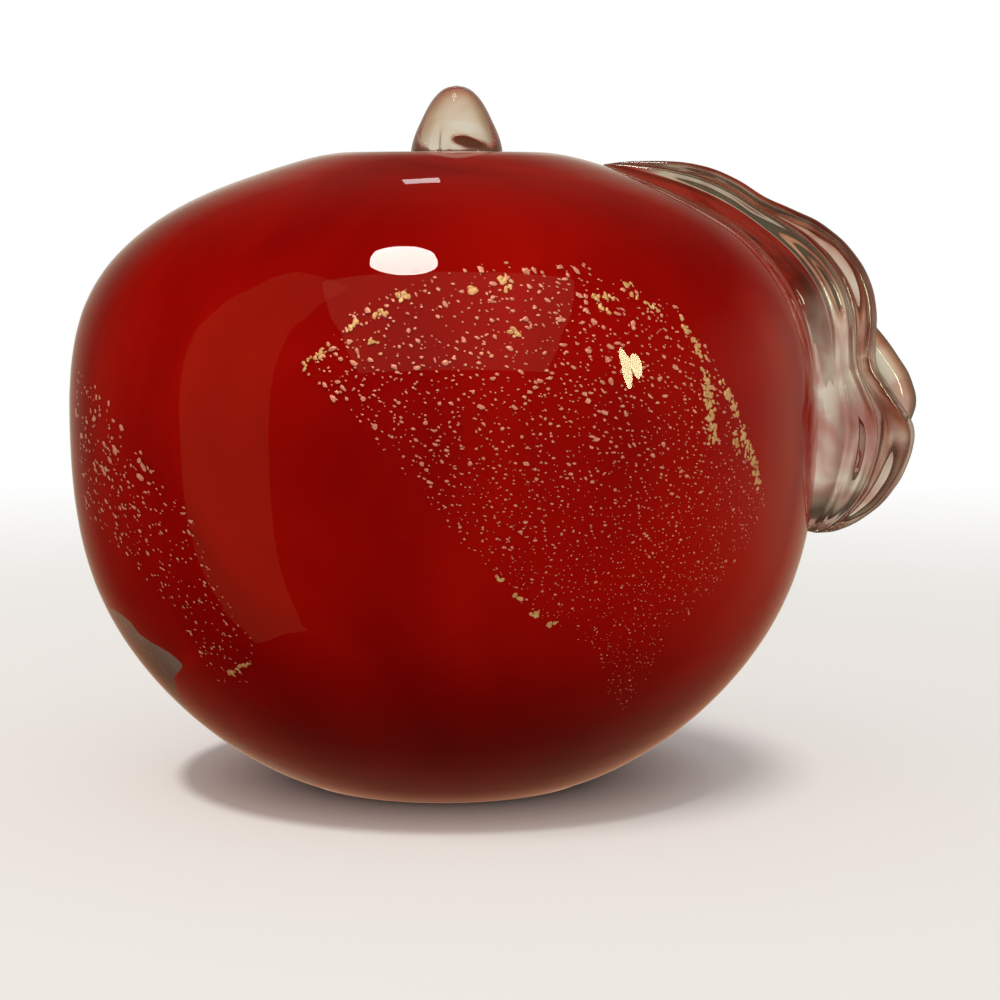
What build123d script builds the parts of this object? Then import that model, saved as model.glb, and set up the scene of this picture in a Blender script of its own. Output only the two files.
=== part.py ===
from build123d import *
import math
import os

# Art glass apple, solid and hot worked: a red glass core with gold leaf rolled into its skin,
# a thick clear casing gathered over both, and a clear stem and a clear leaf fused on last.
# Millimetres. Z runs up the apple's axis and the ground base lies in the plane Z = 0.
# The viewer stands on the -Y side and the leaf falls over the +X side.

# Clear casing, outer form
body_diameter = 80.6
crest_height = 67.6
crest_diameter = 18.0
belly_height = 38.0
base_diameter = 32.0
base_edge_radius = 1.2
dimple_depth = 7.6

# Fullness of the casing: how far points of its outline lie inside the belly and below the crest
flank_inset = 11.4
flank_height = 8.4
haunch_inset = 2.6
haunch_height = 21.3
shoulder_inset = 2.8
shoulder_drop = 14.1
brow_inset = 10.7
brow_drop = 6.5
crown_inset = 21.5
crown_drop = 1.9

# Clear glass over the red core
casing_side = 10.9
casing_base = 9.8
casing_crest = 9.6
casing_dimple = 4.0
core_offset = 1.2

# Fullness of the core
core_belly_height = 39.5
core_crest_diameter = 17.0
core_toe_inset = 14.4
core_toe_rise = 5.4
core_shoulder_inset = 5.8
core_shoulder_drop = 6.7

# Gold leaf, rolled flush into the skin of the core. Each sheet is torn, and its outline is given
# as seen from straight outside it: across and up, in shares of the core's half width and half height
gold_thickness = 0.2
gold_front_azimuth = 18.0
gold_front_outline = [
    (-0.70, 0.48),
    (-0.51, 0.69),
    (-0.20, 0.79),
    (0.17, 0.77),
    (0.46, 0.63),
    (0.58, 0.44),
    (0.68, 0.21),
    (0.75, -0.08),
    (0.66, -0.29),
    (0.44, -0.52),
    (0.36, -0.77),
    (0.26, -0.70),
    (0.20, -0.57),
    (-0.04, -0.43),
    (-0.29, -0.15),
    (-0.49, 0.16),
]
gold_left_azimuth = -80.0
gold_left_outline = [
    (-0.41, 0.38),
    (-0.09, 0.33),
    (0.15, 0.13),
    (0.32, -0.12),
    (0.24, -0.33),
    (0.19, -0.54),
    (0.07, -0.66),
    (-0.17, -0.64),
    (-0.09, -0.43),
    (-0.20, -0.29),
    (-0.44, -0.16),
]
gold_back_azimuth = 165.0
gold_back_outline = [
    (-0.58, 0.17),
    (-0.41, 0.59),
    (-0.03, 0.75),
    (0.41, 0.65),
    (0.65, 0.29),
    (0.56, -0.12),
    (0.31, -0.31),
    (0.14, -0.62),
    (-0.17, -0.50),
    (-0.31, -0.16),
]

# Stem, a pulled nub plugging the dimple
stem_offset = 1.0
stem_height = 14.8
stem_diameter = 10.4
stem_neck_diameter = 7.8
stem_neck_drop = 4.2
stem_tilt = 4.0

# Leaf, a thick lobe draped over the shoulder: two ruffled edges with a tooled valley between them
leaf_azimuth = 6.0
leaf_start = 20.5
leaf_edge_radius = 1.6
leaf_sink = 0.7

# Leaf, section by section from root to tip: distance along the casing, then across and height over
# the casing of the near edge and of the far edge, then the height of the valley
leaf_stations = [
    (1.0, -1.6, 0.8, 1.6, 0.7, 0.6),
    (4.1, -3.2, 1.8, 2.8, 1.3, 1.0),
    (9.8, -5.6, 3.5, 4.6, 2.4, 1.7),
    (13.4, -6.6, 3.8, 5.2, 2.8, 1.9),
    (16.5, -7.2, 3.8, 5.8, 3.2, 2.1),
    (19.6, -7.7, 4.7, 6.0, 3.7, 2.4),
    (22.1, -8.0, 5.6, 6.1, 4.3, 2.8),
    (24.7, -8.2, 6.3, 6.0, 5.0, 3.1),
    (27.3, -8.3, 6.6, 5.8, 6.0, 3.5),
    (29.9, -8.2, 6.3, 5.5, 7.6, 3.9),
    (32.4, -8.1, 5.8, 5.1, 9.6, 4.4),
    (34.5, -8.0, 6.0, 4.7, 11.3, 4.9),
    (36.6, -7.9, 7.4, 4.4, 12.6, 5.4),
    (38.6, -7.8, 9.2, 4.2, 13.2, 5.9),
    (40.7, -7.6, 10.5, 4.2, 12.5, 6.1),
    (42.7, -7.2, 10.6, 4.4, 11.1, 6.0),
    (44.8, -6.7, 10.1, 4.6, 9.7, 5.7),
    (46.9, -6.0, 9.2, 4.6, 8.5, 5.3),
    (48.7, -5.0, 8.0, 4.2, 7.2, 4.7),
    (50.2, -3.9, 6.7, 3.5, 5.9, 4.1),
    (51.2, -2.9, 5.5, 2.7, 4.8, 3.5),
    (52.1, -1.8, 4.0, 1.7, 3.5, 2.6),
    (52.6, -0.9, 2.4, 0.9, 2.2, 1.7),
]

# The leaf's foot, narrower than its edges, and the waist of each flank between foot and edge
leaf_foot_share = 0.63
leaf_waist_share = 0.25

belly_radius = body_diameter / 2
base_radius = base_diameter / 2
dimple_floor = crest_height - dimple_depth
core_radius = belly_radius - casing_side
core_crest_height = crest_height - casing_crest
core_middle = (casing_base + core_crest_height) / 2
core_half_height = core_crest_height - core_middle


def outer_curve():
    """The casing's outline from the base edge over the crest to the middle of the dimple."""
    return Spline(
        (base_radius, 0),
        (belly_radius - flank_inset, flank_height),
        (belly_radius - haunch_inset, haunch_height),
        (belly_radius, belly_height),
        (belly_radius - shoulder_inset, crest_height - shoulder_drop),
        (belly_radius - brow_inset, crest_height - brow_drop),
        (belly_radius - crown_inset, crest_height - crown_drop),
        (crest_diameter / 2, crest_height),
        (0, dimple_floor),
    )


def make_outer():
    """The whole body as one lump, casing and core together."""
    floor = Line((0, 0), (base_radius, 0))
    axis = Line((0, dimple_floor), (0, 0))
    lump = revolve(Plane.XZ * make_face([floor, outer_curve(), axis]), Axis.Z)
    base_rim = lump.edges().filter_by(GeomType.CIRCLE).sort_by(Axis.Z)[0]
    return fillet(base_rim, base_edge_radius)


def make_core(skin):
    """The red core less a skin of the given depth: a lower and an upper bowl that meet at the belly."""
    belly = core_radius - skin
    low = casing_base + skin
    middle = dimple_floor - casing_dimple - skin
    lower = Spline(
        (0, low),
        (belly - core_toe_inset, casing_base + core_toe_rise),
        (belly, core_belly_height),
        tangents=[(1, 0), (0, 1)],
        tangent_scalars=[1, 1],
    )
    upper = Spline(
        (belly, core_belly_height),
        (belly - core_shoulder_inset, core_crest_height - core_shoulder_drop),
        (core_crest_diameter / 2, core_crest_height - skin),
        (0, middle),
        tangents=[(0, 1), (-1, 0)],
        tangent_scalars=[1, 1],
    )
    axis = Line((0, middle), (0, low))
    return Pos(core_offset, 0, 0) * revolve(Plane.XZ * make_face([lower, upper, axis]), Axis.Z)


def gold_space(azimuth, outline, bed):
    """The space straight outside the bed that one torn sheet of gold leaf covers."""
    turn = math.radians(azimuth)
    facing = Plane(
        origin=(core_offset, 0, core_middle),
        x_dir=(math.cos(turn), math.sin(turn), 0),
        z_dir=(math.sin(turn), -math.cos(turn), 0),
    )
    corners = [(core_radius * across, core_half_height * up) for across, up in outline]
    torn = facing * make_face(Polyline(*corners, close=True))
    return extrude(torn, belly_radius) - bed


def make_stem(outer):
    """The stem, turned as a round-topped nub, tilted to the viewer and trimmed to fill the dimple."""
    flank = Spline(
        (stem_diameter / 2, 0),
        (stem_neck_diameter / 2, stem_height - stem_neck_drop),
        (0, stem_height),
        tangents=[(0, 1), (-1, 0)],
        tangent_scalars=[1, 1],
    )
    floor = Line((0, 0), (stem_diameter / 2, 0))
    axis = Line((0, stem_height), (0, 0))
    nub = revolve(Plane.XZ * make_face([floor, flank, axis]), Axis.Z)
    return Pos(stem_offset, 0, dimple_floor) * Rot(X=stem_tilt) * nub - outer


def leaf_plane(distance, curve):
    """The plane that stands square on the casing at a distance along the leaf, and its radius there."""
    spot = curve.position_at(curve.length - leaf_start - distance, PositionMode.LENGTH)
    along = -curve.tangent_at(curve.length - leaf_start - distance, PositionMode.LENGTH)
    turn = math.radians(leaf_azimuth)
    outward = Vector(math.cos(turn), math.sin(turn), 0)
    up = Vector(0, 0, 1)
    plane = Plane(
        origin=outward * spot.X + up * spot.Y,
        x_dir=(-math.sin(turn), math.cos(turn), 0),
        z_dir=outward * along.X + up * along.Y,
    )
    return plane, spot.X


def leaf_section(station, curve):
    """One cross section of the leaf: its underside with the two flanks, then its top with the valley."""
    distance, near, near_height, far, far_height, valley = station
    plane, radius = leaf_plane(distance, curve)
    near_edge = min(leaf_edge_radius, near_height / 2, -near / 2)
    far_edge = min(leaf_edge_radius, far_height / 2, far / 2)
    near_foot = leaf_foot_share * near
    far_foot = leaf_foot_share * far
    under = Spline(
        (near, near_height - near_edge),
        ((near + near_foot) / 2, near_height * leaf_waist_share),
        (near_foot, -leaf_sink - near_foot**2 / (2 * radius)),
        (0, -leaf_sink),
        (far_foot, -leaf_sink - far_foot**2 / (2 * radius)),
        ((far + far_foot) / 2, far_height * leaf_waist_share),
        (far, far_height - far_edge),
    )
    over = Spline(
        (far, far_height - far_edge),
        (far - far_edge, far_height),
        (far / 2, (far_height + valley) / 2),
        (0, valley),
        (near / 2, (near_height + valley) / 2),
        (near + near_edge, near_height),
        (near, near_height - near_edge),
    )
    return plane * make_face([under, over])


def make_leaf(outer):
    """The draped leaf, lofted down the shoulder and trimmed to lie on the casing."""
    curve = outer_curve()
    return loft([leaf_section(station, curve) for station in leaf_stations]) - outer


outer = make_outer()
core = make_core(0)
gold_bed = make_core(gold_thickness)
front_space = gold_space(gold_front_azimuth, gold_front_outline, gold_bed)
left_space = gold_space(gold_left_azimuth, gold_left_outline, gold_bed)
back_space = gold_space(gold_back_azimuth, gold_back_outline, gold_bed)

nodes = {
    "clear_casing": outer - core,
    "red_core": core - front_space - left_space - back_space,
    "gold_leaf_front": core & front_space,
    "gold_leaf_left": core & left_space,
    "gold_leaf_back": core & back_space,
    "stem": make_stem(outer),
    "leaf": make_leaf(outer),
}
os.makedirs("parts", exist_ok=True)
for name, shape in nodes.items():
    export_step(shape, f"parts/{name}.step")
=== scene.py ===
import math
import random

import bmesh
import bpy
from mathutils import Matrix, Vector
from mathutils.bvhtree import BVHTree


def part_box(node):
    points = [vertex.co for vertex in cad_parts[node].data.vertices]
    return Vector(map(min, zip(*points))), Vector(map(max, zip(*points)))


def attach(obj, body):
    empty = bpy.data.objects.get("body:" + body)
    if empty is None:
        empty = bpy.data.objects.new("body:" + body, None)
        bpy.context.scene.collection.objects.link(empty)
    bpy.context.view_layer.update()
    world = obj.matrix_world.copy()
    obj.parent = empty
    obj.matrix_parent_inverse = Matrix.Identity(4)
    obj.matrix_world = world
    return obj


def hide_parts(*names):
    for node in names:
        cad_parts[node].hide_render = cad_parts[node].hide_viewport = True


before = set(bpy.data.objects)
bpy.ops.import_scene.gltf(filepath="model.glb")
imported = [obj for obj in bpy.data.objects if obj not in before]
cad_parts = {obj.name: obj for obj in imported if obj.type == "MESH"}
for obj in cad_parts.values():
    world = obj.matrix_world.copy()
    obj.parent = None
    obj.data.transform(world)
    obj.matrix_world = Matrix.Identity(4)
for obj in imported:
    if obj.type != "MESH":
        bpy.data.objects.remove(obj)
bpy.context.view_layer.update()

# An art glass apple: clear glass cased over a red core with gold leaf, a clear stem and a clear leaf.
# Metres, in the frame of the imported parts: Z up the axis, the viewer on the -Y side.
MM = 0.001

# How strongly the clear glass bends light, and the thin-looking stem
GLASS_BEND = 1.5
STEM_BEND = 1.18

# Colours of the clear glass: where it is smoky, where it is clear, and its painted dark rim for the dark
# room seen at grazing angles
CASING_SMOKY = (0.96, 0.95, 0.92)
CASING_CLEAR = (0.97, 0.965, 0.94)
STEM_SMOKY = (0.82, 0.74, 0.66)
STEM_CLEAR = (0.95, 0.92, 0.86)
STEM_PAINTED_RIM = (0.36, 0.30, 0.24)
LEAF_SMOKY = (0.62, 0.33, 0.30)
LEAF_CLEAR = (0.95, 0.92, 0.86)
LEAF_PAINTED_RIM = (0.22, 0.19, 0.13)

# Colours of the ruby glass, of the stem's joint and of the gold, each between two tones. The stem's joint
# is a painted view of the pale backdrop seen through the stem's foot
RUBY_DEEP = (0.26, 0.0012, 0.0008)
RUBY_BRIGHT = (0.40, 0.004, 0.0012)
STEM_JOINT_BROWN = (0.26, 0.15, 0.11)
STEM_JOINT_PALE = (0.42, 0.34, 0.26)
FLECK_DULL = (0.88, 0.30, 0.19)
FLECK_BRIGHT = (1.0, 0.42, 0.27)
SCRAP_DULL = (0.78, 0.40, 0.13)
SCRAP_BRIGHT = (0.98, 0.58, 0.24)

# Painted dark rim of thin glass, standing in for the dark room seen at grazing angles: where it starts
# and ends, as a share of the turn away from the eye
PAINTED_RIM_START = 0.5
PAINTED_RIM_END = 0.85

# Turned pieces: how finely their outlines and their rounds are divided, and which corners are merged
OUTLINE_KNOTS = 34
OUTLINE_STEPS = 5
ROUND_STEPS = 224
MERGE_DISTANCE = 0.001 * MM

# Middle of the body that the casing's outline is read round, how far off it is read from, how far inside
# it the casing is drawn, and the height below which a corner lies in the flat base
BODY_MIDDLE = 38.0 * MM
OUTLINE_REACH = 0.2
SKIN_INSET = 0.01 * MM
BASE_FLAT = 0.01 * MM

# Sag of the core behind its lower left: angle from the viewer and its reach, then height and how far the
# skin stands out there, in millimetres. It is full above and below, with a hollow between that leaves the
# clear glass open to the eye
SAG_ANGLE = -125.0
SAG_REACH = 55.0
SAG_LINE = [
    (12.0, 0.0),
    (18.5, 1.1),
    (19.8, 1.1),
    (20.8, -1.7),
    (23.3, 0.0),
    (26.0, 1.1),
    (30.0, 0.6),
    (35.0, 0.0),
]

# Leaf: where it starts along the casing, turned a little to the back
LEAF_AZIMUTH = math.radians(6.0)
LEAF_START = 20.5 * MM
LEAF_SINK = 0.6 * MM
LEAF_EDGE_RADIUS = 1.6 * MM
LEAF_TOOLED_HEIGHT = 10.0 * MM
LEAF_LEAN_END = 24.0 * MM
LEAF_LEAN_FADE = 13.0 * MM
LEAF_ROUND_STEPS = 5
LEAF_LENGTH_STEPS = 6

# Leaf, flank of a section from its foot up: place across as a share of the edge's, what the tooling and
# the lean add to it, and height as a share of the edge's. The foot itself lies under the casing
LEAF_FOOT = [
    (0.50, 0.0, 0.0),
    (1.02, 0.0, 0.22),
]
LEAF_FLANK = [
    (1.10, 0.0, 0.17, 0.02),
    (1.06, 0.0, 0.06, 0.16),
    (1.00, -0.06, -0.04, 0.32),
    (0.95, 0.04, -0.12, 0.50),
    (0.91, -0.05, -0.16, 0.66),
]

# Leaf, rolled edge of a section: its crest across, as for the flank, its radius as a share of the height,
# and how far in from the crest and how far below the top its points lie, in radii
LEAF_CREST = (0.93, 0.0, -0.20)
LEAF_ROLL_SHARE = 0.24
LEAF_ROLL = [
    (0.0, 1.0),
    (0.3, 0.25),
    (1.0, 0.0),
    (1.8, 0.4),
    (2.4, 1.4),
]

# Leaf, section by section in millimetres: distance along the casing, then across and height of the
# near edge and of the far edge, then the height of the valley
LEAF_STATIONS = [
    (0.6, -1.2, 0.3, 1.2, 0.3, 0.25),
    (2.2, -2.2, 1.05, 2.1, 0.85, 0.7),
    (4.1, -3.2, 1.8, 2.8, 1.3, 1.0),
    (9.8, -5.6, 3.6, 4.6, 2.4, 1.7),
    (13.4, -6.6, 4.0, 5.2, 2.8, 1.9),
    (16.5, -7.2, 4.1, 5.8, 3.2, 2.1),
    (19.6, -7.7, 5.2, 6.0, 3.7, 2.4),
    (22.1, -8.0, 6.4, 6.1, 4.3, 2.8),
    (24.7, -8.2, 7.3, 6.0, 5.0, 3.1),
    (27.3, -8.3, 7.7, 5.8, 6.0, 3.5),
    (29.9, -8.2, 7.4, 5.5, 7.6, 3.9),
    (32.4, -8.1, 6.6, 5.1, 9.5, 4.4),
    (34.5, -8.0, 6.4, 4.7, 11.1, 4.9),
    (36.6, -7.9, 7.6, 4.4, 12.4, 5.4),
    (38.6, -7.8, 9.2, 4.2, 13.0, 5.9),
    (40.7, -7.6, 10.5, 4.2, 12.4, 6.1),
    (42.7, -7.2, 10.6, 4.4, 11.1, 6.0),
    (44.8, -6.7, 10.1, 4.6, 9.7, 5.7),
    (46.9, -6.0, 9.2, 4.6, 8.5, 5.3),
    (48.7, -5.0, 8.0, 4.2, 7.2, 4.7),
    (50.2, -3.9, 6.7, 3.5, 5.9, 4.1),
    (51.2, -2.9, 5.5, 2.7, 4.8, 3.5),
    (52.1, -1.8, 4.0, 1.7, 3.5, 2.6),
    (52.6, -0.9, 2.4, 0.9, 2.2, 1.7),
]

# Joint of the leaf: its colours, where across the leaf red turns to cream and cream to olive, and the
# heights between which it pales. Cream, olive and the pale tip are painted refraction of the room: cream
# and pale for the bright backdrop, olive for the dark room
JOINT_DARK = (0.13, 0.024, 0.012)
JOINT_RED = (0.33, 0.03, 0.018)
JOINT_PAINTED_BACKDROP = (0.55, 0.47, 0.36)
JOINT_PAINTED_DARK_ROOM = (0.13, 0.11, 0.07)
JOINT_PAINTED_PALE_BACKDROP = (0.72, 0.60, 0.47)
JOINT_CREAM_START = 0.0 * MM
JOINT_CREAM_END = 2.0 * MM
JOINT_OLIVE_START = 3.0 * MM
JOINT_OLIVE_END = 5.0 * MM
JOINT_FADE_TOP = 54.0 * MM
JOINT_FADE_FOOT = 43.0 * MM

# Painted refraction of the red core in the leaf's lobe, as a red tint of the glass: its colour, middle
# and reach
PAINTED_CORE_REFRACTION_COLOUR = (0.36, 0.10, 0.10)
PAINTED_CORE_REFRACTION_MIDDLE = (46.0 * MM, -3.5 * MM, 38.5 * MM)
PAINTED_CORE_REFRACTION_REACH = 9.0 * MM

# Stem: its axis, its outline as radius and height in millimetres, folds as angle, reach and depth, and
# the undercut lip at its front
STEM_PLACE = 1.35 * MM
STEM_OUTLINE = [
    (0.0, 62.0),
    (2.5, 62.2),
    (4.4, 63.4),
    (5.0, 65.5),
    (4.95, 67.4),
    (4.75, 68.6),
    (4.35, 69.8),
    (3.8, 71.0),
    (3.15, 72.3),
    (2.3, 73.55),
    (1.2, 74.45),
    (0.0, 74.74),
]
STEM_FOLDS = [(-29.0, 9.0, 0.17), (-13.0, 7.0, 0.08), (120.0, 14.0, 0.09), (165.0, 12.0, 0.07)]
STEM_FOLD_HEIGHT = 68.0
STEM_FOLD_REACH = 3.2
STEM_LIP_ANGLE = 12.0
STEM_LIP_REACH = 38.0
STEM_LIP_HEIGHT = 70.0
STEM_LIP_SLOPE = 0.014
STEM_LIP_RISE = 0.6
STEM_LIP_DROP = 1.8
STEM_LIP_DEPTH = 0.2
STEM_FOOT_RADIUS = 5.0 * MM
STEM_GAP = 0.06 * MM
STEM_STEPS = 4
STEM_JOINT_HEIGHT = 66.0 * MM
STEM_JOINT_FACING = -0.1

# Gold flecks: count to a square millimetre, middling size and its spread, at the top and foot of a sheet
FLECK_SEED = 7
FLECK_TOP_DENSITY = 1.9
FLECK_FOOT_DENSITY = 2.8
FLECK_TOP_SIZE = 0.11 * MM
FLECK_FOOT_SIZE = 0.055 * MM
FLECK_TOP_SPREAD = 0.55
FLECK_FOOT_SPREAD = 0.30
FLECK_LARGEST = 2.8
FLECK_FULL_RISE = 0.9
FLECK_THICKNESS = 0.3
FLECK_STRETCH = (1.05, 1.5)
FLECK_TEAR = (-0.4, 0.3)
FLECK_SLANT = math.radians(-20.0)
FLECK_SLANT_SPREAD = 0.35
FLECK_FACING = 0.7
FLECK_BATCH = 40

# Sheets of gold leaf: share of the flecks and of their size, and degrees that the top and the foot are
# drawn round the core
SHEETS = {
    "gold_leaf_front": (1.0, 1.0, 0.0, 0.0),
    "gold_leaf_left": (0.5, 1.55, 4.0, 15.0),
    "gold_leaf_back": (1.0, 1.0, 0.0, 0.0),
}

# Scraps of leaf that stayed whole: angle from the viewer and height on the core at both ends, half width,
# and chips in each
SCRAP_CHIP = 0.24 * MM
SCRAP_SIZES = (0.6, 1.25)
SCRAP_STRETCH = (1.0, 1.4)
SCRAPS = [
    (49.7, 44.7, 49.4, 38.4, 0.62, 64),
    (48.0, 48.5, 50.6, 45.8, 0.38, 22),
    (53.5, 43.6, 57.0, 40.4, 0.50, 28),
    (58.0, 39.4, 61.0, 36.8, 0.52, 28),
    (61.5, 36.6, 65.0, 33.9, 0.58, 34),
    (55.8, 39.6, 56.6, 37.4, 0.32, 14),
    (-29.4, 45.6, -25.0, 47.2, 0.24, 12),
    (28.4, 50.6, 33.4, 50.4, 0.16, 10),
    (29.5, 50.1, 31.0, 49.6, 0.22, 5),
    (37.0, 51.3, 38.6, 51.0, 0.24, 5),
    (37.6, 50.4, 39.6, 50.2, 0.16, 4),
    (40.6, 49.8, 43.6, 49.3, 0.17, 7),
    (-22.0, 48.6, -20.2, 48.9, 0.22, 6),
    (-16.8, 49.6, -14.6, 49.8, 0.20, 6),
    (-12.8, 50.6, -10.4, 50.9, 0.18, 6),
    (-17.6, 47.7, -15.8, 47.8, 0.18, 5),
    (2.2, 51.5, 3.4, 50.9, 0.20, 6),
    (9.0, 51.9, 11.0, 51.8, 0.20, 6),
    (9.4, 51.2, 11.0, 51.3, 0.16, 4),
    (10.2, 48.7, 11.6, 48.3, 0.22, 6),
    (-72.0, 18.8, -60.0, 19.3, 0.12, 10),
    (7.0, 27.0, 8.4, 26.4, 0.14, 4),
    (11.0, 25.1, 12.6, 24.7, 0.14, 4),
    (15.4, 23.5, 17.0, 23.2, 0.14, 4),
    (19.4, 22.6, 21.4, 22.4, 0.14, 4),
]

# Camera: how far it stands, how high it looks down from, what it turns round, and its lens in pixels
CAMERA_DISTANCE = 0.290
CAMERA_ELEVATION = math.radians(5.5)
CAMERA_AIM = Vector((0.0, 0.0, 36.4 * MM))
CAMERA_FRAME_OFFSET = Vector((6.0 * MM, 0.0, -6.4 * MM))
FOCAL_PIXELS = 2663.0
IMAGE_PIXELS = 1000.0
SENSOR_WIDTH = 36.0

# Lamps: where they face unless told, and the colours of the light
LAMP_TARGET = (0.0, 0.0, BODY_MIDDLE)
WHITE = (1.0, 1.0, 1.0)
CEILING_COLOUR = (1.0, 0.98, 0.90)
WINDOW_COLOUR = (0.92, 0.98, 0.55)
LEFT_PANEL_COLOUR = (1.0, 0.45, 0.2)
UPPER_PANEL_COLOUR = (1.0, 0.72, 0.5)
WORLD_LIGHT = 0.5

# Floor: its size, colour and the distances between which it fades
FLOOR_RADIUS = 0.4
FLOOR_COLOUR = (0.9, 0.9, 0.9, 1.0)
FLOOR_FADE_START = 0.10
FLOOR_FADE_END = 0.32

# Studio round the apple: its size, and its colours from front to back, from foot to top and from left
# to right
ROOM_RADIUS = 3.0
STUDIO_DEPTH = [
    (0.40, (0.02, 0.018, 0.015)),
    (0.65, (0.09, 0.075, 0.06)),
    (0.85, (0.26, 0.215, 0.16)),
    (0.97, (0.50, 0.42, 0.31)),
    (1.00, (0.72, 0.66, 0.56)),
]
STUDIO_LEVEL = [
    (0.32, (1.0, 0.58, 0.45)),
    (0.44, (1.0, 0.95, 0.9)),
    (0.48, WHITE),
    (0.575, WHITE),
    (0.75, (0.2, 0.19, 0.18)),
]
STUDIO_BALANCE = [
    (0.15, (0.30, 0.25, 0.22)),
    (0.42, WHITE),
    (0.84, WHITE),
    (0.97, (3.0, 2.7, 2.4)),
]

# Shade under the foot: its height and colour
SHADE_HEIGHT = 10.0 * MM
SHADE_COLOUR = (0.4, 0.2, 0.15, 1.0)


class Socket:
    """An output of a shader node, which takes part in sums and starts further nodes."""

    def __init__(self, tree, output):
        self.tree = tree
        self.output = output

    def node(self, kind, settings=None, inputs=None, output=0):
        """Adds a node: its type, its settings, then the values or links of its inputs."""
        added = self.tree.nodes.new("ShaderNode" + kind)
        for name, value in (settings or {}).items():
            if name == "stops":
                set_stops(added.color_ramp, value)
            else:
                setattr(added, name, value)
        for name, value in (inputs or {}).items():
            if isinstance(value, Socket):
                self.tree.links.new(value.output, added.inputs[name])
            else:
                added.inputs[name].default_value = value
        return Socket(self.tree, added.outputs[output])

    def math(self, operation, first, second):
        return self.node("Math", {"operation": operation}, {0: first, 1: second})

    def __add__(self, other):
        return self.math("ADD", self, other)

    def __radd__(self, other):
        return self.math("ADD", other, self)

    def __mul__(self, other):
        return self.math("MULTIPLY", self, other)

    def __rmul__(self, other):
        return self.math("MULTIPLY", other, self)

    def __truediv__(self, other):
        return self.math("DIVIDE", self, other)

    def __rtruediv__(self, other):
        return self.math("DIVIDE", other, self)


def set_stops(ramp, stops):
    """Gives a colour ramp its (place, colour) stops."""
    while len(ramp.elements) < len(stops):
        ramp.elements.new(1.0)
    for element, (place, colour) in zip(ramp.elements, stops):
        element.position = place
        element.color = (*colour, 1.0)


def new_material(name):
    """An empty material, with its object coordinates to start from."""
    material = bpy.data.materials.new(name)
    material.use_nodes = True
    tree = material.node_tree
    tree.nodes.clear()
    coordinates = tree.nodes.new("ShaderNodeTexCoord")
    return material, Socket(tree, coordinates.outputs["Object"])


def set_surface(shader):
    """Ends a material in this shader."""
    out = shader.tree.nodes.new("ShaderNodeOutputMaterial")
    shader.tree.links.new(shader.output, out.inputs["Surface"])


def clear_glass(name, bend, smoky, clear, rim=None, painted_core_refraction=None):
    """Clear glass worked hot: a tint between two colours, a skin that waves, a painted dark rim for the
    room seen at grazing angles, and a painted refraction of the red core.
    """
    material, place = new_material(name)
    waves = place.node("TexNoise", inputs={"Vector": place, "Scale": 45.0, "Detail": 1.0}, output="Fac")
    skin = place.node(
        "Bump",
        inputs={"Strength": 0.012, "Distance": 0.002, "Height": waves},
        output="Normal",
    )
    smoke = place.node(
        "TexNoise",
        inputs={"Vector": place, "Scale": 160.0, "Detail": 1.0, "Distortion": 1.2},
        output="Fac",
    )
    tint = place.node("ValToRGB", {"stops": [(0.35, smoky), (0.6, clear)]}, {"Fac": smoke})
    # Painted refraction of the red core: the tint turns red near the middle of the lobe
    if painted_core_refraction:
        apart = place.node(
            "VectorMath",
            {"operation": "DISTANCE"},
            {0: place, 1: PAINTED_CORE_REFRACTION_MIDDLE},
            output="Value",
        )
        tint = blend(tint, painted_core_refraction, apart, PAINTED_CORE_REFRACTION_REACH, 0.0)
    glass = place.node(
        "BsdfPrincipled",
        inputs={
            "Base Color": tint,
            "Roughness": 0.0,
            "IOR": bend,
            "Transmission Weight": 1.0,
            "Normal": skin,
        },
    )
    # Painted dark rim: a dull colour mixed in where the glass turns away from the eye, standing in for
    # the dark room seen there
    if rim:
        facing = place.node("LayerWeight", output="Facing")
        edge = place.node(
            "MapRange",
            inputs={"Value": facing, "From Min": PAINTED_RIM_START, "From Max": PAINTED_RIM_END},
        )
        dull = place.node("BsdfDiffuse", inputs={"Color": (*rim, 1.0)})
        glass = place.node("MixShader", inputs={"Fac": edge, 1: glass, 2: dull})
    set_surface(glass)
    return material


def blend(colour, other, value, start, end):
    """A colour that turns softly to another one as a value runs from start to end."""
    share = value.node(
        "MapRange",
        {"interpolation_type": "SMOOTHSTEP"},
        {"Value": value, "From Min": start, "From Max": end},
    )
    return value.node("Mix", {"data_type": "RGBA"}, {0: share, 6: colour, 7: (*other, 1.0)}, output=2)


def dull_glass(colour):
    """Dense glass under clear glass, so it has no shine of its own."""
    return colour.node(
        "BsdfPrincipled",
        inputs={"Base Color": colour, "Roughness": 0.5, "Specular IOR Level": 0.0},
    )


def red_glass():
    """Dense ruby glass: deep red with soft veils where the colour lay thicker."""
    material, place = new_material("red_glass")
    stretched = place.node("Mapping", inputs={"Vector": place, "Scale": (1.0, 1.0, 0.35)})
    veils = place.node(
        "TexNoise",
        inputs={"Vector": stretched, "Scale": 60.0, "Detail": 3.0, "Distortion": 0.6},
        output="Fac",
    )
    colour = place.node(
        "ValToRGB",
        {"stops": [(0.3, RUBY_DEEP), (0.7, RUBY_BRIGHT)]},
        {"Fac": veils},
    )
    set_surface(dull_glass(colour))
    return material


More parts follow.
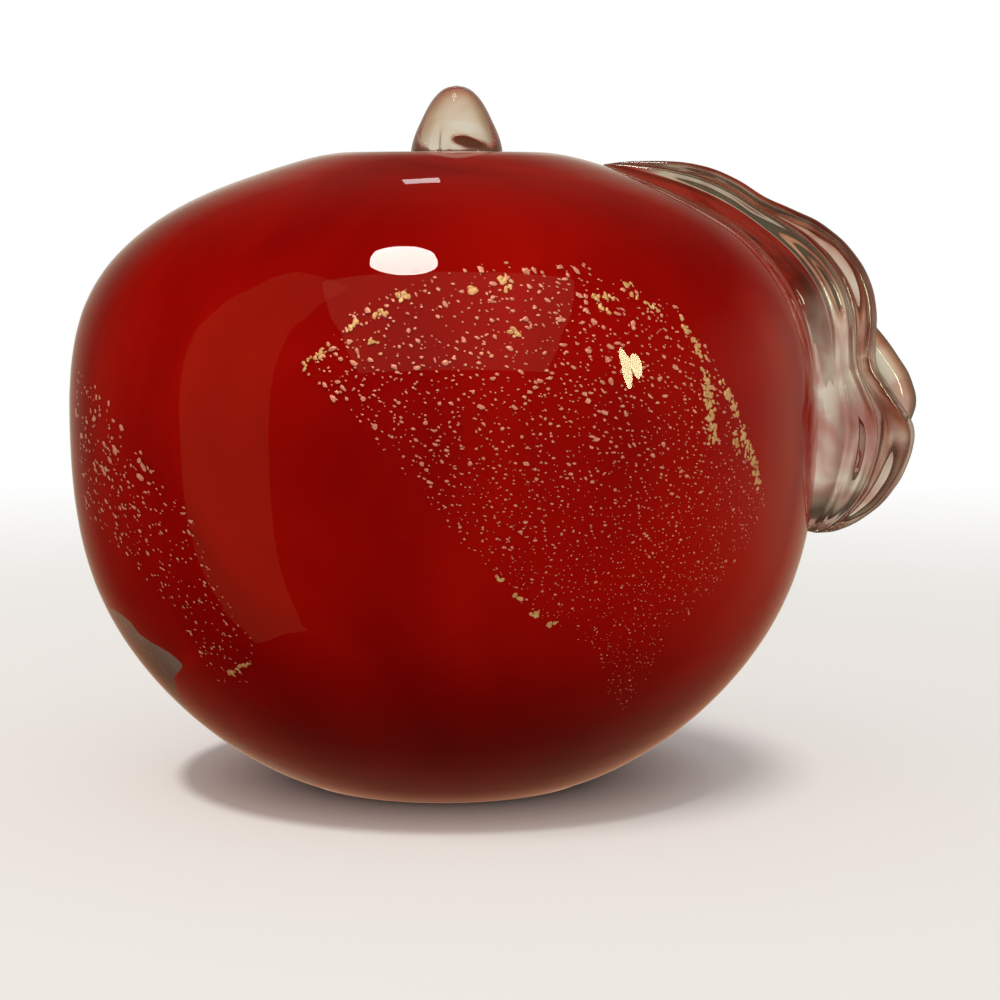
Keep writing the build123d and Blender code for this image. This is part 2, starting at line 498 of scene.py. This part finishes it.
def leaf_joint():
    """What shows through the leaf's joint: red in front, then painted refraction of the room, cream for
    the backdrop and olive for the dark room behind, paler at the tip for the backdrop.
    """
    material, place = new_material("leaf_joint")
    cloud = place.node(
        "TexNoise",
        inputs={"Vector": place, "Scale": 90.0, "Detail": 2.0, "Distortion": 1.4},
        output="Fac",
    )
    red = place.node("ValToRGB", {"stops": [(0.38, JOINT_DARK), (0.56, JOINT_RED)]}, {"Fac": cloud})
    turned_back = place.node("Mapping", inputs={"Vector": place, "Rotation": (0.0, 0.0, -LEAF_AZIMUTH)})
    across = place.node("SeparateXYZ", inputs={"Vector": turned_back}, output="Y")
    rise = place.node("SeparateXYZ", inputs={"Vector": place}, output="Z")
    # Painted refraction of the room: cream and olive across the leaf, and the pale backdrop towards the
    # tip
    colour = blend(red, JOINT_PAINTED_BACKDROP, across, JOINT_CREAM_START, JOINT_CREAM_END)
    colour = blend(colour, JOINT_PAINTED_DARK_ROOM, across, JOINT_OLIVE_START, JOINT_OLIVE_END)
    colour = blend(colour, JOINT_PAINTED_PALE_BACKDROP, rise, JOINT_FADE_TOP, JOINT_FADE_FOOT)
    set_surface(dull_glass(colour))
    return material


def stem_joint():
    """What shows through the foot of the stem: pale brown clouds, a painted view of the pale backdrop in
    place of the red core below.
    """
    material, place = new_material("stem_joint")
    cloud = place.node("TexNoise", inputs={"Vector": place, "Scale": 300.0, "Detail": 1.0}, output="Fac")
    colour = place.node(
        "ValToRGB",
        {"stops": [(0.4, STEM_JOINT_BROWN), (0.6, STEM_JOINT_PALE)]},
        {"Fac": cloud},
    )
    set_surface(dull_glass(colour))
    return material


def gold_leaf(name, dull, bright):
    """Torn gold leaf: crumpled metal between a dull and a bright colour."""
    material, place = new_material(name)
    grain = place.node("TexNoise", inputs={"Vector": place, "Scale": 900.0, "Detail": 2.0}, output="Fac")
    colour = place.node("ValToRGB", {"stops": [(0.35, dull), (0.65, bright)]}, {"Fac": grain})
    crumple = place.node(
        "Bump",
        inputs={"Strength": 0.4, "Distance": 0.0001, "Height": grain},
        output="Normal",
    )
    metal = place.node(
        "BsdfPrincipled",
        inputs={"Base Color": colour, "Metallic": 0.3, "Roughness": 0.5, "Normal": crumple},
    )
    set_surface(metal)
    return material


def gold_flecks():
    """Flecks seen through a film of red glass, so they look pink."""
    return gold_leaf("gold_flecks", FLECK_DULL, FLECK_BRIGHT)


def gold_scraps():
    """Whole scraps of leaf, yellow as the metal."""
    return gold_leaf("gold_scraps", SCRAP_DULL, SCRAP_BRIGHT)


def add_piece(name, shape, materials, nodes, smooth=True):
    """Makes a finished bmesh a piece of the object that stands for these nodes."""
    mesh = bpy.data.meshes.new(name)
    shape.to_mesh(mesh)
    shape.free()
    mesh.polygons.foreach_set("use_smooth", [smooth] * len(mesh.polygons))
    for material in materials:
        mesh.materials.append(material)
    piece = bpy.data.objects.new(name, mesh)
    bpy.context.scene.collection.objects.link(piece)
    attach(piece, "root")
    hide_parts(*nodes)
    return piece


def let_light_through(piece):
    """Clear glass casts no shadow on what lies inside and under it."""
    piece.visible_shadow = False
    piece.visible_diffuse = False


def node_tree(node):
    """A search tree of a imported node's faces."""
    shape = bmesh.new()
    shape.from_mesh(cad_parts[node].data)
    tree = BVHTree.FromBMesh(shape)
    shape.free()
    return tree


def skin_point(node, tree, start, way, axis):
    """The corner nearest to where a ray meets a turned node, turned about its axis to the XZ plane."""
    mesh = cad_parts[node].data
    hit, _, index, _ = tree.ray_cast(start, way)
    corners = [mesh.vertices[corner].co for corner in mesh.polygons[index].vertices]
    corner = min(corners, key=lambda place: (place - hit).length)
    return Vector((axis + math.hypot(corner.x - axis, corner.y), 0.0, corner.z))


def smooth_line(points, steps, closed=False):
    """The points of a curve that runs smoothly through these."""
    curve = bpy.data.curves.new("line", "CURVE")
    curve.dimensions = "3D"
    curve.resolution_u = steps
    spline = curve.splines.new("BEZIER")
    spline.use_cyclic_u = closed
    spline.bezier_points.add(len(points) - 1)
    for knot, point in zip(spline.bezier_points, points):
        knot.co = point
        knot.handle_left_type = "AUTO"
        knot.handle_right_type = "AUTO"
    holder = bpy.data.objects.new("line", curve)
    mesh = bpy.data.meshes.new_from_object(holder)
    line = [vertex.co.copy() for vertex in mesh.vertices]
    bpy.data.objects.remove(holder)
    bpy.data.curves.remove(curve)
    bpy.data.meshes.remove(mesh)
    return line


def direction(angle):
    """Outwards in the XZ plane, at an angle up from straight down."""
    return Vector((math.sin(angle), 0.0, -math.cos(angle)))


def outer_outline(tree, start_angle):
    """The casing's outline from the base edge over the crest to the dimple, read off its node."""
    middle = Vector((0.0, 0.0, BODY_MIDDLE))
    points = []
    for step in range(OUTLINE_KNOTS + 1):
        angle = start_angle + (math.pi - start_angle) * step / OUTLINE_KNOTS
        way = direction(angle)
        points.append(skin_point("clear_casing", tree, middle + way * OUTLINE_REACH, -way, 0.0))
        points[-1].x -= SKIN_INSET
    points[-1].x = 0.0
    return smooth_line(points, OUTLINE_STEPS)


def inner_outline(tree, middle):
    """The core's outline from its foot to its crown, read off the hollow of the casing's node."""
    points = []
    for step in range(OUTLINE_KNOTS + 1):
        angle = math.pi * step / OUTLINE_KNOTS
        points.append(skin_point("clear_casing", tree, middle, direction(angle), middle.x))
    points[0].x = middle.x
    points[-1].x = middle.x
    return smooth_line(points, OUTLINE_STEPS)


def turned(line, middle):
    """A line turned full circle about the upright through a point."""
    shape = bmesh.new()
    knots = [shape.verts.new(point) for point in line]
    runs = [shape.edges.new(pair) for pair in zip(knots, knots[1:])]
    bmesh.ops.spin(
        shape,
        geom=knots + runs,
        cent=middle,
        axis=(0.0, 0.0, 1.0),
        angle=2 * math.pi,
        steps=ROUND_STEPS,
        use_merge=True,
    )
    bmesh.ops.remove_doubles(shape, verts=shape.verts[:], dist=MERGE_DISTANCE)
    bmesh.ops.recalc_face_normals(shape, faces=shape.faces[:])
    return shape


class CasingPath:
    """Distances along the casing's outline, from the middle of the dimple outwards and down."""

    def __init__(self, outline):
        self.points = list(reversed(outline))
        self.lengths = [0.0]
        for first, second in zip(self.points, self.points[1:]):
            self.lengths.append(self.lengths[-1] + (second - first).length)

    def at(self, distance):
        """The place and the direction at this distance."""
        for index in range(1, len(self.points)):
            if self.lengths[index] >= distance:
                break
        first, second = self.points[index - 1], self.points[index]
        share = (distance - self.lengths[index - 1]) / (self.lengths[index] - self.lengths[index - 1])
        before = self.points[max(index - 2, 0)]
        after = self.points[min(index + 1, len(self.points) - 1)]
        way = (second - before).normalized().lerp((after - first).normalized(), share)
        return first.lerp(second, share), way.normalized()

    def height(self, radius):
        """The height of the dimple's skin at this radius."""
        for first, second in zip(self.points, self.points[1:]):
            if second.x >= radius:
                return first.z + (second.z - first.z) * (radius - first.x) / (second.x - first.x)


def swell(value, middle, reach):
    """A soft hump: 1 at the middle, falling to 0 at the reach on both sides."""
    share = min(1.0, abs(value - middle) / reach)
    return (1.0 - share * share) ** 2


def flank(edge, height, tooling, lean):
    """One side of a leaf section, from its spread foot up the tooled flank and over the rolled edge."""

    def across(share, tooled, leant):
        return edge * (share + tooled * tooling + leant * lean)

    roll = min(LEAF_EDGE_RADIUS, LEAF_ROLL_SHARE * height)
    inward = -math.copysign(roll, edge)
    crest = across(*LEAF_CREST)
    points = [(across(*place), -LEAF_SINK) for place in LEAF_FOOT]
    points += [(across(*place), height * rise) for *place, rise in LEAF_FLANK]
    points += [(crest + inset * inward, height - drop * roll) for inset, drop in LEAF_ROLL]
    return points


def leaf_ring(station, path):
    """One closed section of the leaf: feet, tooled flanks, rolled edges and the valley between them."""
    distance, near, near_height, far, far_height, valley = (value * MM for value in station)
    spot, way = path.at(LEAF_START + distance)
    lift = Vector((-way.z, 0.0, way.x))
    tooling = min(1.0, near_height / LEAF_TOOLED_HEIGHT)
    lean = swell(max(distance, LEAF_LEAN_END), LEAF_LEAN_END, LEAF_LEAN_FADE)
    near_side = flank(near, near_height, tooling, lean)
    far_side = flank(far, far_height, tooling, lean)
    section = near_side + [(0.0, valley)] + far_side[::-1]
    turn = Matrix.Rotation(LEAF_AZIMUTH, 3, "Z")
    side = Vector((0.0, 1.0, 0.0))
    points = []
    for across, height in section:
        top = near_height if across < 0 else far_height
        drop = across**2 / (2 * spot.x) * (1.0 - max(0.0, height / top))
        points.append(turn @ (spot + side * across + lift * (height - drop)))
    return smooth_line(points, LEAF_ROUND_STEPS, closed=True)


def leaf_shape(path):
    """The leaf: its sections bridged from root to tip and closed at both ends."""
    columns = list(zip(*LEAF_STATIONS))
    lines = []
    for column in columns[1:]:
        knots = [Vector((distance, value, 0.0)) for distance, value in zip(columns[0], column)]
        lines.append(smooth_line(knots, LEAF_LENGTH_STEPS))
    shape = bmesh.new()
    loops = []
    for knots in zip(*lines):
        station = (knots[0].x, *(knot.y for knot in knots))
        ring = [shape.verts.new(point) for point in leaf_ring(station, path)]
        loops.append([shape.edges.new(pair) for pair in zip(ring, ring[1:] + ring[:1])])
    for first, second in zip(loops, loops[1:]):
        bmesh.ops.bridge_loops(shape, edges=first + second)
    bmesh.ops.holes_fill(shape, edges=loops[0] + loops[-1])
    bmesh.ops.recalc_face_normals(shape, faces=shape.faces[:])
    return shape


def fuse(body, lobe):
    """Cuts two shapes where their skins meet. Inside the joint they get the second material."""
    trees = [BVHTree.FromBMesh(body), BVHTree.FromBMesh(lobe)]
    mesh = bpy.data.meshes.new("fused")
    body.to_mesh(mesh)
    count = len(mesh.polygons)
    both = bmesh.new()
    both.from_mesh(mesh)
    lobe.to_mesh(mesh)
    both.from_mesh(mesh)
    both.faces.ensure_lookup_table()
    for face in both.faces:
        face.material_index = 0 if face.index < count else 1
        face.select_set(face.index >= count)
    both.to_mesh(mesh)
    holder = bpy.data.objects.new("fused", mesh)
    bpy.context.scene.collection.objects.link(holder)
    bpy.ops.object.select_all(action="DESELECT")
    holder.select_set(True)
    bpy.context.view_layer.objects.active = holder
    bpy.ops.object.mode_set(mode="EDIT")
    bpy.ops.mesh.intersect(mode="SELECT_UNSELECT", separate_mode="CUT", solver="EXACT")
    bpy.ops.object.mode_set(mode="OBJECT")
    halves = []
    for own in (0, 1):
        half = bmesh.new()
        half.from_mesh(mesh)
        strangers = [face for face in half.faces if face.material_index != own]
        bmesh.ops.delete(half, geom=strangers, context="FACES")
        for face in half.faces:
            middle = face.calc_center_median()
            near, outward, _, _ = trees[1 - own].find_nearest(middle)
            face.material_index = 1 if (middle - near).dot(outward) < 0 else 0
        halves.append(half)
    bpy.data.objects.remove(holder)
    bpy.data.meshes.remove(mesh)
    body.free()
    lobe.free()
    return halves


def stem_shape(path):
    """The stem: a pulled nub set in the dimple, folded by the jacks and undercut at its front."""
    low = path.height(STEM_FOOT_RADIUS - STEM_PLACE)
    high = path.height(STEM_FOOT_RADIUS + STEM_PLACE)
    points = [Vector((STEM_PLACE + radius * MM, 0.0, height * MM)) for radius, height in STEM_OUTLINE]
    shape = turned(smooth_line(points, STEM_STEPS), (STEM_PLACE, 0.0, 0.0))
    for corner in shape.verts:
        across = corner.co.x - STEM_PLACE
        turn = math.degrees(math.atan2(across, -corner.co.y))
        height = corner.co.z / MM
        fold = sum(depth * swell(turn, angle, reach) for angle, reach, depth in STEM_FOLDS)
        fold *= swell(height, STEM_FOLD_HEIGHT, STEM_FOLD_REACH)
        lip_height = STEM_LIP_HEIGHT - STEM_LIP_SLOPE * (turn - STEM_LIP_ANGLE)
        lip_reach = STEM_LIP_RISE if height > lip_height else STEM_LIP_DROP
        lip = swell(turn, STEM_LIP_ANGLE, STEM_LIP_REACH) * swell(height, lip_height, lip_reach)
        shrink = 1.0 - fold - STEM_LIP_DEPTH * lip
        corner.co.x = STEM_PLACE + across * shrink
        corner.co.y *= shrink
        dimple = path.height(math.hypot(corner.co.x, corner.co.y))
        bridge = low + (high - low) * (across / STEM_FOOT_RADIUS + 1.0) / 2
        corner.co.z = max(corner.co.z, dimple + STEM_GAP, bridge)
    shape.normal_update()
    # Down-facing faces at the foot take the stem joint, painted with the pale backdrop seen through the
    # foot
    for face in shape.faces:
        low_face = face.calc_center_median().z < STEM_JOINT_HEIGHT
        fused = low_face and face.normal.z < STEM_JOINT_FACING
        face.material_index = 1 if fused else 0
    return shape


def sagged(place, middle):
    """Where a place on the core lies once the hot glass has sagged."""
    way = Vector((place.x - middle.x, place.y - middle.y, 0.0))
    turn = math.degrees(math.atan2(way.x, -way.y))
    offset = (turn - SAG_ANGLE + 180.0) % 360.0 - 180.0
    share = swell(offset, 0.0, SAG_REACH)
    height = place.z / MM
    for (low, low_push), (high, high_push) in zip(SAG_LINE, SAG_LINE[1:]):
        if low <= height < high:
            push = low_push + (high_push - low_push) * (height - low) / (high - low)
            return place + way.normalized() * push * share * MM
    return place


def core_shape(tree, middle):
    """The core: turned, then sagged behind its lower left."""
    shape = turned(inner_outline(tree, middle), middle)
    for corner in shape.verts:
        corner.co = sagged(corner.co, middle)
    return shape


def fleck_spots(middle, chance):
    """Where flecks lie on the gold leaf: place, outward direction, height up the sheet, share of size."""
    spots = []
    for node, (count_share, size_share, top_turn, foot_turn) in SHEETS.items():
        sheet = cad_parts[node].data
        low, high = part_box(node)
        for face in sheet.polygons:
            if face.normal.dot((face.center - middle).normalized()) < FLECK_FACING:
                continue
            rise = (face.center.z - low.z) / (high.z - low.z)
            density = FLECK_FOOT_DENSITY + (FLECK_TOP_DENSITY - FLECK_FOOT_DENSITY) * rise
            wanted = face.area / MM**2 * density * count_share
            turn = math.radians(top_turn + (foot_turn - top_turn) * (1.0 - rise) ** 2)
            drawn = Matrix.Rotation(turn, 3, "Z")
            corners = [
                middle + drawn @ (sheet.vertices[index].co - middle) for index in face.vertices
            ]
            for _ in range(int(wanted + chance.random())):
                first, second = sorted((chance.random(), chance.random()))
                shares = (first, second - first, 1 - second)
                spot = sum((corner * share for corner, share in zip(corners, shares)), Vector())
                spots.append((sagged(spot, middle), drawn @ face.normal, rise, size_share))
    return spots


def add_fleck(shape, spot, outward, size, stretch, slant, chance):
    """One fleck: a flat chip with torn corners, lying in the skin of the core."""
    level = Vector((0.0, 0.0, 1.0)).cross(outward).normalized()
    along = Matrix.Rotation(slant, 3, outward) @ level
    across = outward.cross(along)
    lie = Matrix((along, across, outward)).transposed().to_4x4()
    scale = Matrix.Diagonal((size * stretch, size / stretch, size * FLECK_THICKNESS, 1.0))
    made = bmesh.ops.create_icosphere(
        shape, subdivisions=1, radius=1.0, matrix=Matrix.Translation(spot) @ lie @ scale
    )
    for corner in made["verts"]:
        corner.co += (corner.co - spot) * chance.uniform(*FLECK_TEAR)


def chip_shape(chips, chance):
    """All these chips in one shape, a batch at a time. A chip: place, outward, size, stretch, slant."""
    shape = bmesh.new()
    for start in range(0, len(chips), FLECK_BATCH):
        batch = bmesh.new()
        for chip in chips[start : start + FLECK_BATCH]:
            add_fleck(batch, *chip, chance)
        mesh = bpy.data.meshes.new("batch")
        batch.to_mesh(mesh)
        batch.free()
        shape.from_mesh(mesh)
        bpy.data.meshes.remove(mesh)
    return shape


def fleck_chips(middle, chance):
    """Torn flecks scattered over the gold leaf, large at the top of a sheet and fine at its foot."""
    chips = []
    for spot, outward, rise, size_share in fleck_spots(middle, chance):
        growth = 1.0 - swell(min(rise, FLECK_FULL_RISE), 0.0, FLECK_FULL_RISE)
        size = size_share * (FLECK_FOOT_SIZE + (FLECK_TOP_SIZE - FLECK_FOOT_SIZE) * growth)
        spread = FLECK_FOOT_SPREAD + (FLECK_TOP_SPREAD - FLECK_FOOT_SPREAD) * rise
        size *= min(chance.lognormvariate(0.0, spread), FLECK_LARGEST)
        stretch = chance.uniform(*FLECK_STRETCH)
        slant = FLECK_SLANT + chance.gauss(0.0, FLECK_SLANT_SPREAD)
        chips.append((spot, outward, size, stretch, slant))
    return chips


def scrap_chips(tree, middle, chance):
    """Chips that lie close together along each scrap of leaf that stayed whole."""
    chips = []
    for turn, height, end_turn, end_height, half_width, count in SCRAPS:
        for index in range(count):
            share = (index + chance.random()) / count
            angle = math.radians(turn + (end_turn - turn) * share)
            level = (height + (end_height - height) * share) * MM
            way = Vector((math.sin(angle), -math.cos(angle), 0.0))
            start = Vector((middle.x, middle.y, level + chance.uniform(-half_width, half_width) * MM))
            side = Vector((0.0, 0.0, 1.0)).cross(way) * chance.uniform(-half_width, half_width) * MM
            spot, inward, _, _ = tree.ray_cast(start + side, way)
            outward = inward if inward.dot(way) > 0 else -inward
            size = SCRAP_CHIP * chance.uniform(*SCRAP_SIZES)
            stretch = chance.uniform(*SCRAP_STRETCH)
            slant = chance.uniform(0.0, math.pi)
            chips.append((sagged(spot, middle), outward, size, stretch, slant))
    return chips


casing_faces = node_tree("clear_casing")
core_low, core_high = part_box("red_core")
core_middle = Vector(((core_low.x + core_high.x) / 2, 0.0, (core_low.z + core_high.z) / 2))

# Base edge: the outermost point of the flat that the apple stands on
base_radius = max(
    Vector((corner.co.x, corner.co.y)).length
    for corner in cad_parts["clear_casing"].data.vertices
    if corner.co.z < BASE_FLAT
)
outer_line = outer_outline(casing_faces, math.atan2(base_radius, BODY_MIDDLE))
outer_line[0] = Vector((base_radius, 0.0, 0.0))
casing_path = CasingPath(outer_line)

casing_skin = turned([Vector((0.0, 0.0, 0.0))] + outer_line, (0, 0, 0))
casing_skin, leaf_skin = fuse(casing_skin, leaf_shape(casing_path))
glass = clear_glass("clear_glass", GLASS_BEND, CASING_SMOKY, CASING_CLEAR)
joint = leaf_joint()
casing = add_piece("casing", casing_skin, [glass, joint], ["clear_casing"])
add_piece("core", core_shape(casing_faces, core_middle), [red_glass()], ["red_core"])
stem_glass = clear_glass("stem_glass", STEM_BEND, STEM_SMOKY, STEM_CLEAR, STEM_PAINTED_RIM)
leaf_glass = clear_glass("leaf_glass", GLASS_BEND, LEAF_SMOKY, LEAF_CLEAR, LEAF_PAINTED_RIM, PAINTED_CORE_REFRACTION_COLOUR)
stem_skin = stem_shape(casing_path)
stem = add_piece("stem_nub", stem_skin, [stem_glass, stem_joint()], ["stem"])
leaf = add_piece("leaf_lobe", leaf_skin, [leaf_glass, joint], ["leaf"])
chance = random.Random(FLECK_SEED)
fleck_skin = chip_shape(fleck_chips(core_middle, chance), chance)
scrap_skin = chip_shape(scrap_chips(casing_faces, core_middle, chance), chance)
add_piece("gold_flecks", fleck_skin, [gold_flecks()], SHEETS, smooth=False)
add_piece("gold_scraps", scrap_skin, [gold_scraps()], SHEETS, smooth=False)
for piece in (casing, stem, leaf):
    let_light_through(piece)


# Camera, a little above the belly and looking down on it
camera_data = bpy.data.cameras.new("camera")
camera_data.sensor_width = SENSOR_WIDTH
camera_data.lens = SENSOR_WIDTH * FOCAL_PIXELS / IMAGE_PIXELS
camera = bpy.data.objects.new("camera", camera_data)
camera_back = Vector((0.0, -math.cos(CAMERA_ELEVATION), math.sin(CAMERA_ELEVATION)))
camera.location = CAMERA_AIM + camera_back * CAMERA_DISTANCE
sight = CAMERA_AIM + CAMERA_FRAME_OFFSET - camera.location
camera.rotation_euler = sight.to_track_quat("-Z", "Y").to_euler()
bpy.context.scene.collection.objects.link(camera)
bpy.context.scene.camera = camera


def add_lamp(name, place, size, brightness, colour=WHITE, shape="RECTANGLE", target=LAMP_TARGET):
    """A soft lamp of an even brightness, facing the apple."""
    data = bpy.data.lights.new(name, "AREA")
    data.shape = shape
    data.size, data.size_y = size
    area = size[0] * size[1] * (math.pi / 4 if shape == "ELLIPSE" else 1.0)
    data.energy = brightness * area * math.pi
    data.color = colour
    lamp = bpy.data.objects.new(name, data)
    lamp.location = place
    lamp.rotation_euler = (Vector(target) - Vector(place)).to_track_quat("-Z", "Y").to_euler()
    bpy.context.scene.collection.objects.link(lamp)
    return lamp


# Light: a ceiling lamp, a window and a door at the right, a far lamp behind, and broad dim panels at the
# left and above
add_lamp(
    "ceiling_lamp",
    place=(-0.138, -0.10, 1.04),
    size=(0.23, 0.39),
    brightness=18.5,
    colour=CEILING_COLOUR,
    shape="ELLIPSE",
    target=(-0.138, -0.10, 0.0),
)
window = add_lamp(
    "right_window",
    place=(0.8236, -0.575, 0.285),
    size=(0.055, 0.28),
    brightness=19.0,
    colour=WINDOW_COLOUR,
    shape="ELLIPSE",
)
door = add_lamp(
    "right_door",
    place=(0.856, -0.525, 0.285),
    size=(0.065, 0.16),
    brightness=19.0,
    colour=WINDOW_COLOUR,
    shape="ELLIPSE",
)
for lamp in (window, door):
    lamp.visible_diffuse = False
far_lamp = add_lamp("far_lamp", place=(-0.04, 0.89, 0.82), size=(0.065, 0.06), brightness=2.4)
far_lamp.visible_transmission = False
add_lamp(
    "left_panel",
    place=(-1.11, -0.455, 0.2),
    size=(0.7, 3.4),
    brightness=0.28,
    colour=LEFT_PANEL_COLOUR,
)
add_lamp(
    "upper_panel",
    place=(0.05, -1.15, 1.25),
    size=(2.0, 2.0),
    brightness=0.32,
    colour=UPPER_PANEL_COLOUR,
)

# World: white where the eye, the glass and the gold look, softer as light
world = bpy.data.worlds.new("studio")
bpy.context.scene.world = world
world.use_nodes = True
world.node_tree.nodes.clear()
light_path = world.node_tree.nodes.new("ShaderNodeLightPath")
straight = Socket(world.node_tree, light_path.outputs["Is Camera Ray"])
glossy = Socket(world.node_tree, light_path.outputs["Is Glossy Ray"])
through = Socket(world.node_tree, light_path.outputs["Is Transmission Ray"])
seen = straight.math("MAXIMUM", straight.math("MAXIMUM", straight, glossy), through)
strength = WORLD_LIGHT + seen * (1.0 - WORLD_LIGHT)
background = straight.node("Background", inputs={"Color": (*WHITE, 1.0), "Strength": strength})
world_out = world.node_tree.nodes.new("ShaderNodeOutputWorld")
world.node_tree.links.new(background.output, world_out.inputs["Surface"])


def floor_material():
    """A pale floor that fades into the white round it."""
    material, place = new_material("pale_floor")
    length = place.node("VectorMath", {"operation": "LENGTH"}, {0: place}, output="Value")
    fade = place.node(
        "MapRange",
        {"interpolation_type": "SMOOTHSTEP"},
        {
            "Value": length,
            "From Min": FLOOR_FADE_START,
            "From Max": FLOOR_FADE_END,
            "To Min": 1.0,
            "To Max": 0.0,
        },
    )
    pale = place.node("BsdfDiffuse", inputs={"Color": FLOOR_COLOUR})
    open_air = place.node("BsdfTransparent")
    set_surface(place.node("MixShader", inputs={"Fac": fade, 1: open_air, 2: pale}))
    return material


def add_stage(name, shape, material):
    """Makes a finished bmesh part of the stage."""
    mesh = bpy.data.meshes.new(name)
    shape.to_mesh(mesh)
    shape.free()
    mesh.materials.append(material)
    thing = bpy.data.objects.new(name, mesh)
    bpy.context.scene.collection.objects.link(thing)
    return thing


def studio_backdrop():
    """What the glass sees of the studio: beige behind, warm below, dark above, left and in front."""
    material, place = new_material("studio_backdrop")
    depth = place.node("SeparateXYZ", inputs={"Vector": place}, output="Y") / ROOM_RADIUS
    rise = place.node("SeparateXYZ", inputs={"Vector": place}, output="Z") / ROOM_RADIUS
    side = place.node("SeparateXYZ", inputs={"Vector": place}, output="X") / ROOM_RADIUS
    balance = place.node("ValToRGB", {"stops": STUDIO_BALANCE}, {"Fac": 0.5 + side * 0.5})
    level = place.node("ValToRGB", {"stops": STUDIO_LEVEL}, {"Fac": 0.5 + rise * 0.5})
    colour = place.node("ValToRGB", {"stops": STUDIO_DEPTH}, {"Fac": 0.5 + depth * 0.5})
    shaded = place.node("VectorMath", {"operation": "MULTIPLY"}, {0: colour, 1: level})
    shaded = place.node("VectorMath", {"operation": "MULTIPLY"}, {0: shaded, 1: balance})
    set_surface(place.node("Emission", inputs={"Color": shaded}))
    material.cycles.emission_sampling = "NONE"
    return material


def painted_shade_sheet():
    """Dull brown sheet that only diffuse and shadow rays meet: painted shadow on the floor under the foot
    and painted shade on the underside of the core.
    """
    material, place = new_material("painted_shade_sheet")
    set_surface(place.node("BsdfDiffuse", inputs={"Color": SHADE_COLOUR}))
    return material


floor_disc = bmesh.new()
bmesh.ops.create_circle(floor_disc, cap_ends=True, segments=96, radius=FLOOR_RADIUS)
floor = add_stage("floor", floor_disc, floor_material())
floor.visible_glossy = False
floor.visible_transmission = False

# The studio round the apple, which only its glass and gold see
room = bmesh.new()
bmesh.ops.create_uvsphere(room, u_segments=64, v_segments=32, radius=ROOM_RADIUS)
studio = add_stage("studio", room, studio_backdrop())
studio.visible_camera = False
studio.visible_diffuse = False
studio.visible_shadow = False

# Shade under the foot: the clear foot lets all lamp light through, so this keeps its shadow on the floor
# The same hidden sheet also shades the underside of the core, whose downward diffuse rays meet it
foot_line = [point for point in outer_line if point.z < SHADE_HEIGHT]
foot_shade = add_stage("foot_shade", turned(foot_line, (0, 0, 0)), painted_shade_sheet())
foot_shade.visible_camera = False
foot_shade.visible_glossy = False
foot_shade.visible_transmission = False

bpy.context.scene.view_settings.view_transform = "Standard"
